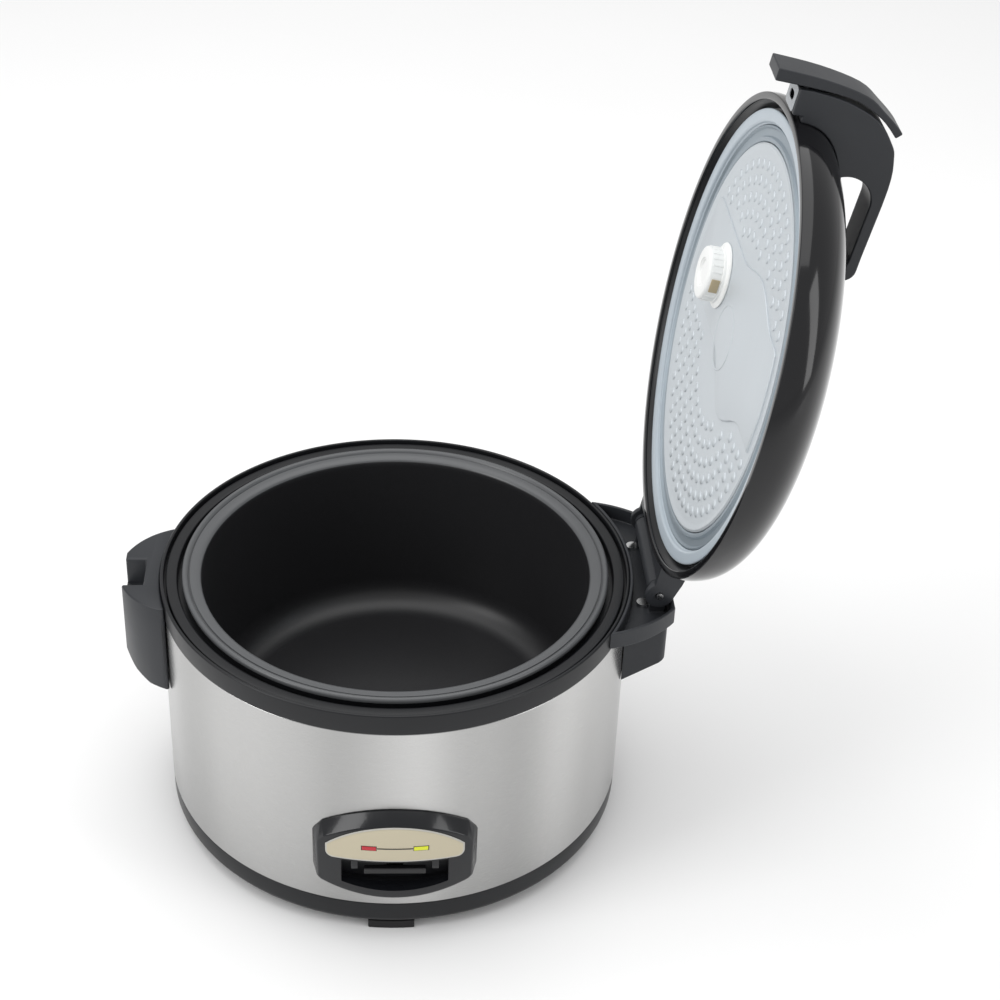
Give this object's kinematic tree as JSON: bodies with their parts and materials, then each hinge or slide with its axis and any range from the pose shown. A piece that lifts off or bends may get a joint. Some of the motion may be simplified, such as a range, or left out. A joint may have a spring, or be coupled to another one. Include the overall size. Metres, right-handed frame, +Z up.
{
  "type": "electric rice cooker",
  "caption": "Large drum-shaped electric rice cooker with a lift-out pot, a hinged domed lid with a carry handle and release lever, and a front cook switch panel.",
  "frame": {"origin": "centre of the drum's feet on the table surface", "axes": "+Z up, -Y towards the control panel (front), +X towards the lid hinge, -X towards the latch; stored with the lid open on its stop"},
  "size_m": [0.5784, 0.3956, 0.6602],
  "materials": {
    "black_plastic": "satin",
    "gloss_black": "gloss",
    "grey_plastic": "satin",
    "foot_rubber": "matte",
    "drum_steel": "satin",
    "bright_steel": "polished",
    "aluminium": "satin",
    "element_steel": "dull",
    "mica": "matte",
    "pot_coating": "satin non-stick",
    "gasket": "satin",
    "valve_white": "satin",
    "ceramic": "glazed",
    "label": "satin",
    "red_lens": "gloss",
    "green_lens": "gloss",
    "brass": "polished"
  },
  "bodies": {
    "housing": {"base_pan": "black_plastic", "foot_front": "foot_rubber", "foot_right": "foot_rubber", "foot_back": "foot_rubber", "foot_left": "foot_rubber", "outer_shell": "drum_steel", "top_ring": "black_plastic", "pot_well": "aluminium", "heater_plate": "aluminium", "heater_element": "element_steel", "plate_posts": "bright_steel", "warm_heater": "mica", "thermostat_body": "bright_steel", "thermostat_spring": "bright_steel", "latch_handle": "grey_plastic", "latch_catch": "drum_steel", "hinge_housing": "grey_plastic", "hinge_pin": "bright_steel", "hinge_spring": "bright_steel", "hinge_screws": "bright_steel", "control_bezel": "gloss_black", "label_plate": "label", "cook_lamp": "red_lens", "warm_lamp": "green_lens", "switch_bracket": "drum_steel", "switch_pin": "bright_steel", "micro_switch": "black_plastic", "power_inlet": "black_plastic", "inlet_pins": "brass", "terminal_block": "ceramic", "thermal_fuse": "ceramic", "rating_plate": "aluminium", "base_screws": "bright_steel"},
    "lid": {"lid_shell": "gloss_black", "lid_liner": "black_plastic", "gasket_channel": "aluminium", "lid_gasket": "gasket", "inner_lid_plate": "aluminium", "steam_valve": "valve_white", "steam_cap": "gloss_black", "lid_handle": "grey_plastic", "hinge_arm": "grey_plastic", "lid_screws": "bright_steel", "lever_pin": "bright_steel"},
    "release": {"release_lever": "grey_plastic"},
    "pot": {"inner_pot": "pot_coating"},
    "cook_switch": {"cook_lever": "gloss_black"},
    "thermostat": {"thermostat_cap": "aluminium"}
  },
  "joints": [
    {"name": "lid_hinge", "type": "hinge", "parent": "housing", "child": "lid", "pos_m": [0.2084, 0, 0.2314], "axis": [0, 1, 0], "range_deg": [-101.5, 0]},
    {"name": "lever_pivot", "type": "hinge", "parent": "lid", "child": "release", "pos_m": [0.29161, 0, 0.63736], "axis": [0, 1, 0], "range_deg": [0, 2.5], "stiffness_Nm_per_rad": 2, "springref_deg": -2.86},
    {"name": "pot_lift", "type": "slide", "parent": "housing", "child": "pot", "axis": [0, 0, 1], "range_m": [0, 0.26]},
    {"name": "cook_press", "type": "hinge", "parent": "housing", "child": "cook_switch", "pos_m": [-0.00307, -0.17597, 0.076], "axis": [0.9998, -0.0175, 0], "range_deg": [0, 9], "stiffness_Nm_per_rad": 1, "springref_deg": -5.73},
    {"name": "thermostat_press", "type": "slide", "parent": "housing", "child": "thermostat", "axis": [0, 0, 1], "range_m": [-0.004, 0], "stiffness_N_per_m": 400, "springref_m": 0.004, "deforming": ["thermostat_spring"]}
  ]
}
